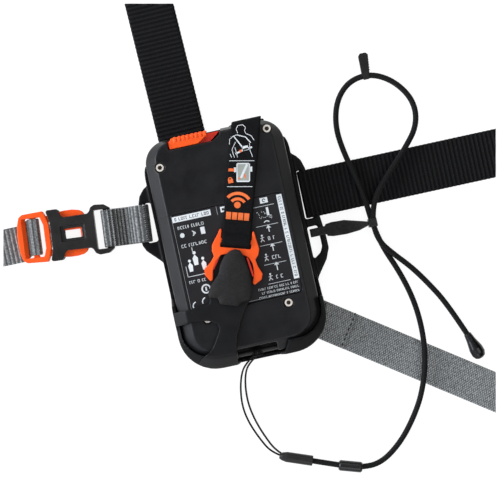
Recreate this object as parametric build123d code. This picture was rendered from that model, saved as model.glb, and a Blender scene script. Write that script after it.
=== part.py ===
from build123d import *
import math
import os

# Avalanche transceiver, lying display side down in its moulded holder, with the
# harness straps, the buckle and the hand leash that belong to it. Millimetres.
# Frame: X across the holder, Y towards the mode switch, Z up.
# The origin is the centre of the holder's resting face.

os.makedirs("parts", exist_ok=True)

# ---------------------------------------------------------------- transceiver
POD_HALF_WIDTH = 36.5
POD_TOP = 60.2
POD_BOTTOM = -58.6
POD_FRONT = 3.6           # display face, towards the holder
POD_BACK = 30.0           # label face
SEAM_LOW = 14.6
SEAM_HIGH = 15.4
POD_WALL = 1.9
CORNER_LOW = 17.0
CORNER_HIGH = 12.0
BEVEL_SIDE = 5.8
BEVEL_HIGH = 1.8
BEVEL_LOW = 6.0
BEVEL_DEPTH = 6.0
BACK_SCREWS = [(-29.3, 46.6), (28.9, 54.7), (20.8, -35.4), (-21.8, -34.8)]
SCREW_HEAD_R = 2.0
SCREW_SHANK_R = 1.2
BOSS_R = 3.4

DOOR_HALF_WIDTH = 29.4
DOOR_LOW = -31.6
DOOR_HIGH = 21.4
DOOR_LEDGE_Z = 28.2
CELL_R = 5.2
CELL_LENGTH = 44.5
CELL_PITCH = 10.8
CELL_Z = 21.6
CELL_LOW = -26.0

SWITCH_LEFT = -22.4
SWITCH_BACK_Y = 54.7
SWITCH_FRONT_Y = 60.6
SWITCH_FLOOR = 17.0
SWITCH_PLATE_Z = 26.4
SWITCH_TOP = 29.7

TROUGH_HALF_WIDTH = 10.5
TROUGH_Y = -53.6
TROUGH_FLOOR = 16.6
PIN_Y = -56.8
PIN_Z = 21.0
PIN_R = 1.2

BUTTON_R = 4.8
BUTTON_XS = {"button_left": -15.0, "button_centre": 0.0, "button_right": 15.0}
BUTTON_Y = -11.0

# --------------------------------------------------------------------- holder
TRAY_HALF_WIDTH = 39.0
TRAY_WALL = 2.1
TRAY_BOTTOM = -61.5
TRAY_TOP = 58.0
BASE = 2.4
LUG_LOW = 1.7
LUG_HIGH = 4.7
RIM_LOW = 9.0
RIM_ROOT = 25.5
LIP_ROOT = 24.2
LIP_TOP = 30.2
LIP_LEAN = 6.2
LIP_INNER_Y = -54.0

TONGUE_LOW = 30.5
TONGUE_HIGH = 32.7
CAP_LOW = 33.5
CAP_HIGH = 36.3
TONGUE_AXIS_POINT = (-37.3, -32.0)
TONGUE_AXIS_DIRECTION = (0.61, -0.79)

FLAP_END = (0.1, -2.0)
FLAP_ANGLE = -107.0
FLAP_WIDTH = 15.0
FLAP_LOW = 30.3
FLAP_LAYER = 1.3
FLAP_HINGE_Y = 60.9

# ------------------------------------------------------- straps and the leash
WIDE = 25.4
NARROW = 20.0
WEBBING = 1.4
CHEST_END = 155.0
SHOULDER_END = 144.0
ADJUSTER_LENGTH = 23.0
ADJUSTER_WIDTH = 19.4
ADJUSTER_THICKNESS = 1.3
ADJUSTER_TURN = 4.7
WAIST_LENGTH = 110.0
CUT_TURN = -12.3
CUT_LEFT = -123.1
CUT_RIGHT = 138.7
CUT_TOP = 128.0
BUCKLE_ORIGIN = (-45.2, 21.0)
BUCKLE_ANGLE = 175.2
CORD_R = 1.5
THIN_R = 0.5

# The leash cord, from the barrel to the cord end: (x, y, z) of its route.
LEASH_ROUTE = [
    (15.2, -121.0, 2.7), (27.0, -125.6, 2.8), (39.0, -130.0, 2.7), (51.0, -130.4, 1.6),
    (63.5, -121.8, 1.6), (73.6, -109.6, 1.8), (80.4, -97.2, 5.6), (85.6, -81.0, 6.6),
    (87.4, -65.0, 5.4), (86.6, -49.0, 1.7), (82.4, -33.0, 1.6), (76.2, -17.6, 1.6),
    (73.4, -3.0, 1.8), (72.4, 8.6, 6.2), (69.8, 22.0, 6.6), (66.6, 36.0, 3.4),
    (65.4, 50.0, 1.6), (69.2, 63.6, 1.6), (78.2, 72.2, 1.6), (90.6, 73.2, 1.6),
    (102.0, 66.0, 1.6), (109.2, 54.0, 1.6), (107.8, 41.0, 2.6), (98.0, 29.6, 6.2),
    (86.4, 18.4, 6.8), (77.2, 8.2, 7.0), (73.6, -4.0, 5.4), (74.8, -14.6, 4.9),
    (80.6, -22.4, 4.3), (88.6, -31.2, 1.7), (95.6, -41.4, 1.6), (103.6, -55.2, 1.6),
    (110.6, -73.6, 2.6),
]
# The two strands of the thin loop, from the pin in the trough to the barrel.
STRAND_LEFT = [
    (-2.8, -58.9, 20.2), (-7.4, -62.2, 15.6), (-10.8, -66.8, 5.6), (-13.4, -74.6, 0.7),
    (-14.7, -84.6, 0.7), (-13.2, -94.0, 0.7), (-9.4, -103.6, 0.7), (-4.8, -112.2, 1.1),
    (0.2, -115.0, 2.4),
]
STRAND_RIGHT = [
    (-0.8, -58.9, 20.6), (-5.8, -62.4, 16.2), (-9.0, -67.4, 5.8), (-10.9, -75.4, 0.7),
    (-11.3, -84.8, 0.7), (-9.4, -94.6, 0.7), (-6.0, -104.0, 0.7), (-2.4, -111.4, 1.3),
    (1.2, -114.6, 3.0),
]
BARREL_ENDS = ((-0.9, -114.9), (15.8, -121.2))
BEAD_ENDS = ((28.8, -126.4), (40.8, -130.2))
CORD_END_ENDS = ((110.2, -72.6), (114.8, -86.6))


# -------------------------------------------------------------------- helpers
def save(solid, name):
    export_step(solid, f"parts/{name}.step")


def edges_at(solid, height):
    return solid.edges().filter_by(lambda edge: abs(edge.center().Z - height) < 0.01)


def prism(face, low, high):
    return extrude(Pos(0, 0, low) * face, amount=high - low, dir=(0, 0, 1))


def plate(points):
    return Polygon(*points, align=None)


def block(x_low, x_high, y_low, y_high, z_low, z_high):
    return Pos((x_low + x_high) / 2, (y_low + y_high) / 2, (z_low + z_high) / 2) * Box(
        x_high - x_low, y_high - y_low, z_high - z_low)


def rod(x, y, radius, low, high):
    return Pos(x, y, (low + high) / 2) * Cylinder(radius, high - low)


def lying_rod(start, end, radius):
    """A cylinder between two points of space."""
    path = Vector(*end) - Vector(*start)
    plane = Plane(origin=start, z_dir=path)
    return extrude(plane * Circle(radius), amount=path.length)


def rounded_plate(half_width, low, high, r_low, r_high):
    face = plate([(-half_width, low), (half_width, low), (half_width, high), (-half_width, high)])
    face = fillet(face.vertices().sort_by(Axis.Y)[:2], r_low)
    return fillet(face.vertices().sort_by(Axis.Y)[-2:], r_high)


def across(points, width):
    """A section drawn in X and Z, made as wide as a strap along Y."""
    return extrude(Plane.XZ * plate(points), amount=width / 2, both=True)


def ribbon(points, thickness):
    """Outline of a band of even thickness along a line of points, with mitred corners."""
    spots = [Vector(*p) for p in points]
    last = len(spots) - 1
    upper = []
    lower = []
    for i, spot in enumerate(spots):
        before = (spot - spots[i - 1] if i > 0 else spots[1] - spot).normalized()
        after = (spots[i + 1] - spot if i < last else spot - spots[i - 1]).normalized()
        n_before = Vector(-before.Y, before.X)
        n_after = Vector(-after.Y, after.X)
        mitre = (n_before + n_after) * (thickness / 2 / (1 + n_before.dot(n_after)))
        upper.append((spot.X + mitre.X, spot.Y + mitre.Y))
        lower.append((spot.X - mitre.X, spot.Y - mitre.Y))
    return upper + lower[::-1]


def cord_path(points, label):
    """Straight runs joined by tangent arcs, each as large as its two runs allow."""
    spots = [Vector(*p) for p in points]
    radii = []
    for i in range(1, len(spots) - 1):
        run_in = spots[i] - spots[i - 1]
        run_out = spots[i + 1] - spots[i]
        half_turn = math.radians(run_in.get_angle(run_out)) / 2
        radii.append(0.45 * min(run_in.length, run_out.length) / math.tan(half_turn))
    print(label, "radii", " ".join(f"{r:.1f}" for r in radii))
    return FilletPolyline(*points, radius=radii)


def cord_tube(points, radius, label):
    path = cord_path(points, label)
    tube = sweep(Plane(origin=path @ 0, z_dir=path % 0) * Circle(radius), path=path)
    section = math.pi * radius ** 2
    print(label, f"length {path.length:.1f} volume ratio {tube.volume / (section * path.length):.4f}")
    return tube


# ---------------------------------------------------------- transceiver shells
def pod_outline(inset):
    return rounded_plate(POD_HALF_WIDTH - inset, POD_BOTTOM + inset, POD_TOP - inset,
                         CORNER_LOW - inset, CORNER_HIGH - inset)


def face_outline(inset, bevel_high):
    half_width = POD_HALF_WIDTH - BEVEL_SIDE - inset
    return rounded_plate(half_width, POD_BOTTOM + BEVEL_LOW + inset, POD_TOP - bevel_high - inset,
                         CORNER_LOW - BEVEL_SIDE - inset, CORNER_HIGH - BEVEL_SIDE / 2 - inset)


def pod_half(seam, face, inset, bevel_high):
    """The solid between the seam and one face, with its bevelled edge, inset for a cavity."""
    up = 1 if face > seam else -1
    face = face - up * inset
    shoulder = face - up * BEVEL_DEPTH
    side = prism(pod_outline(inset), min(seam, shoulder), max(seam, shoulder))
    crown = loft([Pos(0, 0, shoulder) * pod_outline(inset), Pos(0, 0, face) * face_outline(inset, bevel_high)])
    return side + crown


def make_back_shell():
    outer = pod_half(SEAM_HIGH, POD_BACK, 0, BEVEL_HIGH)
    outer = fillet(edges_at(outer, POD_BACK), 0.9)
    outer = fillet(edges_at(outer, POD_BACK - BEVEL_DEPTH), 2.0)
    shell = outer - pod_half(SEAM_HIGH, POD_BACK, POD_WALL, BEVEL_HIGH)
    # pockets for the switch and the lanyard trough are solid before they are cut
    walls = block(SWITCH_LEFT - 2.2, 7.2, SWITCH_BACK_Y - 2.0, 62, SEAM_HIGH + 0.1, 31)
    walls += block(-TROUGH_HALF_WIDTH - 1.6, TROUGH_HALF_WIDTH + 1.6, -60, TROUGH_Y + 1.6, SEAM_HIGH, 31)
    for x, y in BACK_SCREWS:
        walls += rod(x, y, BOSS_R, SEAM_HIGH, POD_BACK - 1)
    shell += walls & outer
    ledge = prism(rounded_plate(DOOR_HALF_WIDTH + 1.2, DOOR_LOW - 1.5, DOOR_HIGH + 1.5, 3, 3),
                  DOOR_LEDGE_Z - 1.5, POD_BACK - 1)
    shell += ledge & outer
    pocket = plate([(-23.0, 54.3), (-0.2, 54.3), (4.3, 57.0), (5.4, 60.3), (5.4, 63), (-23.0, 63)])
    shell -= prism(pocket, SWITCH_FLOOR, 32)
    shell -= block(-TROUGH_HALF_WIDTH, TROUGH_HALF_WIDTH, -62, TROUGH_Y, TROUGH_FLOOR, 32)
    shell -= lying_rod((-TROUGH_HALF_WIDTH - 1.2, PIN_Y, PIN_Z), (TROUGH_HALF_WIDTH + 1.2, PIN_Y, PIN_Z), PIN_R)
    shell -= prism(rounded_plate(DOOR_HALF_WIDTH, DOOR_LOW, DOOR_HIGH, 2.5, 2.5), DOOR_LEDGE_Z, 32)
    shell -= prism(rounded_plate(DOOR_HALF_WIDTH - 1.6, DOOR_LOW + 1.6, DOOR_HIGH - 1.6, 1.5, 1.5), 20, 32)
    for x, y in BACK_SCREWS:
        shell -= rod(x, y, SCREW_HEAD_R + 0.5, POD_BACK - 2.4, 32)
        shell -= rod(x, y, SCREW_SHANK_R + 0.2, 10, 32)
    return shell


def make_front_shell():
    front = pod_half(SEAM_LOW, POD_FRONT, 0, BEVEL_LOW)
    shell = front - pod_half(SEAM_LOW, POD_FRONT, POD_WALL, BEVEL_LOW)
    for x, y in BACK_SCREWS:
        shell += rod(x, y, BOSS_R - 0.2, POD_FRONT + 1, SEAM_LOW)
        shell -= rod(x, y, SCREW_SHANK_R + 0.02, POD_FRONT + 4, SEAM_HIGH)
    shell -= block(-18.6, 18.6, 9.9, 46.1, 0, POD_FRONT + POD_WALL + 0.5)
    for x in BUTTON_XS.values():
        shell -= rod(x, BUTTON_Y, BUTTON_R + 0.25, 0, POD_FRONT + POD_WALL + 0.5)
    for column in range(5):
        for row in range(3):
            shell -= rod(-2 + 3 * column, -46 + 3 * row, 0.8, 0, POD_FRONT + POD_WALL + 0.5)
    return shell


def make_shell_seal():
    band = pod_outline(0.1) - pod_outline(POD_WALL)
    return prism(band, SEAM_LOW, SEAM_HIGH)


def make_battery_door():
    door = prism(rounded_plate(DOOR_HALF_WIDTH - 0.25, DOOR_LOW + 0.25, DOOR_HIGH - 0.25, 2.3, 2.3),
                 DOOR_LEDGE_Z + 0.4, POD_BACK - 0.05)
    for x in (-10.8, 0, 10.8):
        door += block(x - 2, x + 2, -22, 14, CELL_Z + CELL_R + 0.3, DOOR_LEDGE_Z + 0.5)
    return door


def make_door_gasket():
    outer = rounded_plate(DOOR_HALF_WIDTH - 0.3, DOOR_LOW + 0.3, DOOR_HIGH - 0.3, 2.2, 2.2)
    inner = rounded_plate(DOOR_HALF_WIDTH - 1.5, DOOR_LOW + 1.5, DOOR_HIGH - 1.5, 1.6, 1.6)
    return prism(outer - inner, DOOR_LEDGE_Z, DOOR_LEDGE_Z + 0.4)


def make_batteries():
    cells = []
    for i in (-1, 0, 1):
        x = i * CELL_PITCH
        body = lying_rod((x, CELL_LOW, CELL_Z), (x, CELL_LOW + CELL_LENGTH - 1, CELL_Z), CELL_R)
        nub = lying_rod((x, CELL_LOW + CELL_LENGTH - 1, CELL_Z), (x, CELL_LOW + CELL_LENGTH, CELL_Z), 1.9)
        cells.append(body + nub)
    return Compound(children=cells)


def make_battery_contacts():
    pieces = []
    for y in (CELL_LOW - 1.1, CELL_LOW + CELL_LENGTH + 0.1):
        for i in (-1, 0, 1):
            x = i * CELL_PITCH
            leaf = block(x - 3.6, x + 3.6, y, y + 0.4, CELL_Z - 4, CELL_Z + 3.5)
            foot = block(x - 1.2, x + 1.2, y, y + 0.4, 12.7, CELL_Z - 4)
            pieces.append(leaf + foot)
    return Compound(children=pieces)


def make_circuit_board():
    board = prism(pod_outline(4.2), 11.0, 12.6)
    for x, y in BACK_SCREWS:
        board -= rod(x, y, BOSS_R + 0.4, 10, 14)
    chips = [(-22, 10, 9, 9), (22, -8, 7, 7), (-24, 28, 5, 8), (10, -30, 8, 5), (25, 34, 6, 6)]
    for x, y, width, depth in chips:
        board += block(x - width / 2, x + width / 2, y - depth / 2, y + depth / 2, 12.6, 13.8)
    return board


def make_antenna_rods():
    long_rod = lying_rod((-23, 36, 20.5), (23, 36, 20.5), 3.5)
    side_rod = lying_rod((25.6, -25, 20.5), (25.6, 27, 20.5), 3.5)
    core = rod(-25.5, -5, 2.6, 15, 25)
    return Compound(children=[long_rod, side_rod, core])


def make_antenna_coils():
    long_coil = lying_rod((-16, 36, 20.5), (16, 36, 20.5), 5.0) - lying_rod((-17, 36, 20.5), (17, 36, 20.5), 3.6)
    side_coil = lying_rod((25.6, -18, 20.5), (25.6, 20, 20.5), 5.0)
    side_coil -= lying_rod((25.6, -19, 20.5), (25.6, 21, 20.5), 3.6)
    upright = rod(-25.5, -5, 5.6, 16, 24) - rod(-25.5, -5, 2.7, 15, 25)
    return Compound(children=[long_coil, side_coil, upright])


def make_mode_switch():
    """Ribbed slider: a top plate and a finger skirt over the end of the case."""
    outline = plate([(-22.4, 54.7), (-7.3, 54.7), (-3.5, 57.3), (-1.6, 60.1), (-20.8, 60.1), (-22.4, 57.6)])
    body = prism(outline, SWITCH_PLATE_Z, SWITCH_TOP - 0.6)
    body += block(-20.6, -2.2, SWITCH_FRONT_Y - 1.4, SWITCH_FRONT_Y - 0.3, 18.4, SWITCH_PLATE_Z + 1)
    ribs = 8
    pitch = 2.25
    for i in range(ribs):
        x = -19.8 + pitch * (i + 0.5)
        ridge = extrude(Plane.YZ * plate([
            (57.2, SWITCH_TOP - 1.0), (58.2, SWITCH_TOP), (SWITCH_FRONT_Y - 1.2, SWITCH_TOP),
            (SWITCH_FRONT_Y, SWITCH_TOP - 1.2), (SWITCH_FRONT_Y, 19.0), (SWITCH_FRONT_Y - 0.5, 18.8),
            (SWITCH_FRONT_Y - 1.0, 28.0)]), amount=pitch * 0.3, both=True)
        body += Pos(x, 0, 0) * ridge
    return body


def make_switch_track():
    outline = plate([(-22.7, 54.7), (-1.0, 54.7), (2.9, 57.5), (4.4, 59.0), (-22.7, 59.0)])
    return prism(outline, SWITCH_FLOOR, SWITCH_PLATE_Z - 0.3)


def make_button(x):
    button = rod(x, BUTTON_Y, BUTTON_R, POD_FRONT - 0.7, POD_FRONT + POD_WALL + 0.1)
    button += rod(x, BUTTON_Y, BUTTON_R + 0.8, POD_FRONT + POD_WALL + 0.1, POD_FRONT + POD_WALL + 0.6)
    return button


def make_screws():
    screws = []
    for x, y in BACK_SCREWS:
        head = rod(x, y, SCREW_HEAD_R, POD_BACK - 2.3, POD_BACK - 0.5)
        socket = prism(Pos(x, y) * RegularPolygon(1.25, 6), POD_BACK - 1.6, POD_BACK)
        screws.append(head - socket + rod(x, y, SCREW_SHANK_R, 9.0, POD_BACK - 2.3))
    return Compound(children=screws)


def make_transceiver():
    save(make_back_shell(), "back_shell")
    save(make_front_shell(), "front_shell")
    save(make_shell_seal(), "shell_seal")
    save(make_battery_door(), "battery_door")
    save(make_door_gasket(), "door_gasket")
    save(make_batteries(), "batteries")
    save(make_battery_contacts(), "battery_contacts")
    save(make_circuit_board(), "circuit_board")
    save(make_antenna_rods(), "antenna_rods")
    save(make_antenna_coils(), "antenna_coils")
    save(block(-20.5, 20.5, 8, 48, 5.9, 9.4), "display_module")
    save(block(-18.5, 18.5, 10, 46, POD_FRONT + 0.1, POD_FRONT + POD_WALL), "display_window")
    save(block(-24, 24, -19, -3, 6.9, 7.6), "keypad_membrane")
    save(rod(4, -43, 9, 12.7, 16.4) - rod(4, -43, 7.5, 15.2, 17), "speaker")
    save(lying_rod((-26, -46.5, 16.5), (-14, -46.5, 16.5), 3.0), "vibration_motor")
    save(make_mode_switch(), "mode_switch")
    save(make_switch_track(), "switch_track")
    for name, x in BUTTON_XS.items():
        save(make_button(x), name)
    save(make_screws(), "housing_screws")
    save(lying_rod((-TROUGH_HALF_WIDTH - 1.1, PIN_Y, PIN_Z), (TROUGH_HALF_WIDTH + 1.1, PIN_Y, PIN_Z),
                   PIN_R - 0.03), "lanyard_pin")


# --------------------------------------------------------------------- holder
def tray_outline(inset):
    return rounded_plate(TRAY_HALF_WIDTH - inset, TRAY_BOTTOM + inset, TRAY_TOP,
                         CORNER_LOW + 2.4 - inset, 14 - inset)


def above_profile(points, plane, low, high):
    """Everything above a height line, between two distances along the plane's normal."""
    outline = points + [(points[-1][0], 60), (points[0][0], 60)]
    cutter = extrude(plane * plate(outline), amount=high - low, dir=plane.z_dir)
    return Pos(*(plane.z_dir * low)) * cutter


def make_rim():
    """The upright wall round the holder, low at the sides and high round the lower end."""
    wall = prism(tray_outline(0) - tray_outline(TRAY_WALL), 0, RIM_ROOT)
    left = [(70, RIM_LOW), (-18, RIM_LOW), (-21, 11), (-25, 23.5), (-27.6, RIM_ROOT), (-36.4, RIM_ROOT),
            (-39, 23.5), (-43, 19), (-70, 19)]
    right = [(70, RIM_LOW), (-20, RIM_LOW), (-26, 11), (-38, 22), (-43, 24), (-70, 24)]
    end = [(-60, 19), (-30, 19), (-27.5, 23.5), (-26.4, RIM_ROOT), (-11.4, RIM_ROOT), (-10.6, 23), (-9.6, 12),
           (8, 12), (12, 16), (16, 22), (20, 24), (60, 24)]
    wall -= above_profile(left, Plane.YZ, -60, -28)
    wall -= above_profile(right, Plane.YZ, 20, 60)
    wall -= extrude(Plane.XZ * plate(end + [(60, 60), (-60, 60)]), amount=30, dir=(0, -1, 0)).moved(Pos(0, -45, 0))
    return wall - block(-60, 60, 50, 70, BASE, 40)


def make_lip():
    """The rim's lower end leans in over the case's bevelled edge, and is open at the trough."""
    lip = prism(tray_outline(0) - tray_outline(TRAY_WALL), 18.5, LIP_ROOT)
    lip += loft([Pos(0, 0, LIP_ROOT) * tray_outline(0), Pos(0, 0, LIP_TOP) * tray_outline(LIP_LEAN)])
    lip -= pod_half(SEAM_HIGH, POD_BACK, -0.3, BEVEL_HIGH)
    lip -= prism(pod_outline(-0.3), 0, SEAM_HIGH + 1)
    lip -= prism(rounded_plate(TRAY_HALF_WIDTH - TRAY_WALL, LIP_INNER_Y, TRAY_TOP + 5, 14.5, 5), 0, 40)
    lip &= block(-60, 60, -80, -35.6, 0, 40)
    notch = plate([(-11.6, 12), (8.0, 12), (18.0, 33), (-11.6, 33)])
    return lip - extrude(Plane.XZ * notch, amount=90)


def make_lugs():
    left = plate([(-38, 41), (-41.5, 38.8), (-44.3, 35.5), (-45.6, 31.5), (-48.2, 11.5), (-48.0, 9.5),
                  (-46.7, 6.5), (-43.6, 3.2), (-40, -0.5), (-38, -3.5)])
    left -= plate([(-39.2, 31.2), (-42.5, 31.2), (-44.8, 10.2), (-39.2, 10.2)])
    right = plate([(38, 42), (41.6, 38.9), (43.6, 36.2), (44.9, 31.5), (48.2, -6), (48.3, -12.3),
                   (45.9, -18), (40.3, -25.6), (38, -30)])
    right -= plate([(39.9, 31.0), (41.9, 31.0), (44.1, 4.9), (39.3, 4.9)])
    right -= plate([(39.2, 0.6), (44.7, 0.6), (44.9, -6.6), (44.9, -10.9), (43.4, -13.9), (39.2, -16.8)])
    return prism(left + right, LUG_LOW, LUG_HIGH)


def make_tray():
    tray = prism(tray_outline(0), 0, BASE) + make_rim() + (make_lip() - make_tongue_roots())
    tray += block(10, 29, 50, 62.4, 0, BASE)
    for x in (-24, -8, 8, 24):
        tray += block(x - 0.8, x + 0.8, -42, 40, BASE, POD_FRONT - 0.1)
    tray += make_lugs()
    tray -= shoulder_location() * block(-18, 10, -WIDE / 2 - 0.3, WIDE / 2 + 0.3, 0, WEBBING + 0.2)
    tray -= waist_location() * block(-16, 12, -NARROW / 2 - 0.3, NARROW / 2 + 0.3, 0, WEBBING + 0.2)
    for x, y in rivet_spots():
        tray -= rod(x, y, 1.3, 0, 6)
    return tray


def rivet_spots():
    waist = [waist_location() * Pos(-10, side * 5, 0) for side in (-1, 1)]
    spots = [(spot.position.X, spot.position.Y) for spot in waist]
    return spots + [(-22, 46), (-8, 46), (15.5, 58.8), (23.5, 58.8)]


def make_rivets():
    rivets = []
    for x, y in rivet_spots():
        on_flap = y > 50
        low = 0.4 if on_flap else 0.05
        head = BASE + FLAP_LAYER if on_flap else BASE
        shank = rod(x, y, 1.25, low, head)
        rivets.append(shank + rod(x, y, 1.8 if on_flap else 2.6, head, head + 0.7))
    return Compound(children=rivets)


def tongue_outline():
    return plate([
        (-0.3, -2.6), (2.0, -3.8), (3.3, -7.0), (4.2, -13.5), (4.2, -20.0), (3.6, -25.0), (1.7, -29.5),
        (-1.6, -34.0), (-5.3, -40.0), (-8.3, -46.0), (-9.9, -52.0), (-11.4, -58.0), (-11.4, -61.2),
        (-26.4, -61.2), (-26.4, -57.0), (-24.3, -53.0), (-20.3, -47.0), (-16.9, -41.2), (-17.3, -38.5),
        (-21.3, -35.8), (-29.3, -34.6), (-38.9, -35.6), (-38.9, -28.3), (-19.5, -27.6), (-18.6, -25.8),
        (-18.6, -21.8), (-16.6, -18.4), (-11.4, -13.4), (-9.3, -8.6), (-6.4, -4.8), (-3.2, -2.9)])


def cap_outline():
    return plate([
        (-0.3, -2.6), (2.0, -3.8), (3.3, -7.0), (4.2, -13.5), (4.2, -20.0), (3.6, -25.0), (1.7, -29.5),
        (-2.3, -30.0), (-5.3, -31.5), (-13.8, -28.6), (-14.2, -25.4), (-18.6, -24.2),
        (-18.6, -21.8), (-16.6, -18.4), (-11.4, -13.4), (-9.3, -8.6), (-6.4, -4.8), (-3.2, -2.9)])


def tongue_side(gap):
    """The half plane on the tip's side of the tongue's fold line, a gap away from it."""
    along = Vector(*TONGUE_AXIS_DIRECTION).normalized()
    away = Vector(-along.Y, along.X)
    start = Vector(*TONGUE_AXIS_POINT) + away * gap
    corners = [start - along * 80, start + along * 80, start + along * 80 + away * 150, start - along * 80 + away * 150]
    return plate([(c.X, c.Y) for c in corners])


def make_tongue():
    arms = tongue_outline() & tongue_side(0.15)
    under_cap = plate([(-40, -70), (-40, -23), (-12.5, -20.0), (-8.6, -14.5), (-6.0, -9.8), (-0.5, -9.8),
                       (1.6, -14), (1.8, -27), (30, -30), (30, -70)])
    web = plate([(-15, -22), (-8.6, -14.5), (-6.0, -9.8), (-0.5, -9.8), (1.6, -14), (1.8, -27), (-13, -27)])
    return prism(arms & under_cap, TONGUE_LOW, TONGUE_HIGH) + prism(web & cap_outline(), TONGUE_LOW, CAP_LOW)


def make_tongue_roots():
    wall = tray_outline(0) - tray_outline(TRAY_WALL)
    left = wall & plate([(-45, -35.6), (-30, -35.6), (-30, -28.3), (-45, -28.3)])
    end = wall & plate([(-26.4, -70), (-11.4, -70), (-11.4, -55), (-26.4, -55)])
    posts = prism(left + end, RIM_ROOT, TONGUE_LOW - 0.2)
    return posts + prism((tongue_outline() - tongue_side(-0.15)) & tray_outline(0), TONGUE_LOW - 0.2, TONGUE_HIGH)


def make_flap_strap():
    """Webbing that lies over the back, passes round the buckle's bar and is sewn to itself."""
    top = FLAP_LOW + FLAP_LAYER
    section = Plane.XZ * plate([
        (-75, FLAP_LOW), (-1.6, FLAP_LOW), (-0.8, FLAP_LOW + 0.8), (-0.8, 33.9), (-1.6, 34.7), (-5, 34.7),
        (-7.5, top + FLAP_LAYER), (-13, top + FLAP_LAYER), (-13, top), (-75, top)])
    section -= Plane.XZ * plate([(-6.4, top), (-2.1, top), (-2.1, 33.4), (-4.8, 33.4)])
    strap = extrude(section, amount=FLAP_WIDTH / 2, both=True)
    placed = Pos(*FLAP_END, 0) * Rot(0, 0, FLAP_ANGLE) * strap
    return placed - block(-20, 60, FLAP_HINGE_Y - 0.1, 100, 20, 50)


def make_flap_root():
    wall = block(11.6, 27.2, POD_TOP + 0.6, POD_TOP + 1.9, BASE, FLAP_LOW + FLAP_LAYER - 0.1)
    foot = block(11.6, 27.2, 57.6, POD_TOP + 1.9, BASE, BASE + FLAP_LAYER)
    root = wall + foot
    for x, y in rivet_spots()[-2:]:
        root -= rod(x, y, 1.3, 0, 10)
    return root


def make_flap_buckle():
    """Orange hook frame: two ears, a bar for the strap, a cross piece and two arms."""
    half = [(-8.9, 7.9), (-9.2, 8.8), (-6.0, 9.9), (-0.5, 12.2), (2.6, 12.0), (5.2, 10.7), (8.5, 12.2), (12.2, 15.0),
            (15.2, 14.6), (18.2, 11.4), (17.4, 10.3), (12.4, 10.6), (7.6, 9.5), (4.2, 7.0), (3.3, 3.6)]
    frame = plate(half + [(a, -b) for a, b in reversed(half)])
    frame -= plate([(-20, -7.9), (-4.4, -7.9), (-4.4, 7.9), (-20, 7.9)])
    frame -= plate([(-2.3, -7.9), (0.2, -7.9), (0.2, 7.9), (-2.3, 7.9)])
    body = prism(frame, FLAP_LOW + 0.3, 33.1)
    body -= block(-4.6, -2.1, -7.9, 7.9, 30, FLAP_LOW + FLAP_LAYER + 0.25)
    return Pos(*FLAP_END, 0) * Rot(0, 0, FLAP_ANGLE) * body


def make_holder():
    save(make_tray(), "carrier_tray")
    save(make_rivets(), "strap_rivets")
    save(make_tongue_roots(), "tongue_roots")
    save(make_tongue(), "tongue")
    save(prism(cap_outline(), CAP_LOW, CAP_HIGH), "tongue_cap")
    save(make_flap_root(), "flap_root")
    save(make_flap_strap(), "flap_strap")
    save(make_flap_buckle(), "flap_buckle")


# --------------------------------------------------------------------- straps
def shoulder_location():
    return Pos(-15.4, 59, 0) * Rot(0, 0, 91.6)


def waist_location():
    return Pos(36.5, -49.0, 0) * Rot(0, 0, -35)


def buckle_location():
    return Pos(*BUCKLE_ORIGIN, 0) * Rot(0, 0, BUCKLE_ANGLE)


def cut_off(strap):
    """The straps are cut off on the sides of one rectangle, turned from the holder."""
    return strap & (Rot(0, 0, CUT_TURN) * block(CUT_LEFT, CUT_RIGHT, -200, CUT_TOP, -1, 40))


def make_shoulder_strap():
    strap = across(ribbon([(-16.5, 0.8), (SHOULDER_END - 59, 0.8)], WEBBING), WIDE)
    strap = cut_off(shoulder_location() * strap)
    for x, y in rivet_spots()[2:4]:
        strap -= rod(x, y, 1.3, 0, 6)
    return strap


def make_chest_strap():
    """Elastic that comes in over the lug's bar, round it and back underneath."""
    path = [(24, 0.75), (-3.0, 0.75), (-4.1, 1.9), (-4.1, 4.7), (-3.0, 5.85), (4.6, 5.85), (10, 2.3),
            (24.6, 2.2), (31, 0.8), (CHEST_END - 44.75, 0.8)]
    return cut_off(Pos(44.75, 17.9, 0) * across(ribbon(path, WEBBING), WIDE))


def make_buckle_strap():
    """Closed loop between the holder's left lug and the bar of the female buckle."""
    outer = [(-4.7, 0.9), (-3.9, 0.1), (21.0, 0.1), (21.8, 0.9), (21.8, 5.7), (21.0, 6.5), (15.2, 6.5),
             (11.8, 2.9), (7.2, 2.9), (3.6, 6.5), (-3.9, 6.5), (-4.7, 5.7)]
    lug_space = [(-3.3, 1.5), (4.6, 1.5), (2.6, 5.1), (-3.3, 5.1)]
    bar_space = [(20.4, 1.5), (14.2, 1.5), (16.2, 5.1), (20.4, 5.1)]
    section = plate(outer) - plate(lug_space) - plate(bar_space)
    strap = extrude(Plane.XZ * section, amount=NARROW / 2, both=True)
    return buckle_location() * strap


def make_waist_strap():
    strap = across(ribbon([(-15.5, 0.8), (WAIST_LENGTH, 0.8)], WEBBING), NARROW)
    strap += across(ribbon([(7.5, 0.8 + WEBBING), (17.5, 0.8 + WEBBING)], WEBBING), NARROW)
    strap = cut_off(waist_location() * strap)
    strap -= prism(tray_outline(-0.3), BASE - 0.8, 9)
    for x, y in rivet_spots()[:2]:
        strap -= rod(x, y, 1.3, 0, 6)
    return strap


def mirrored(half):
    return half + [(u, -v) for u, v in reversed(half)]


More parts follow.
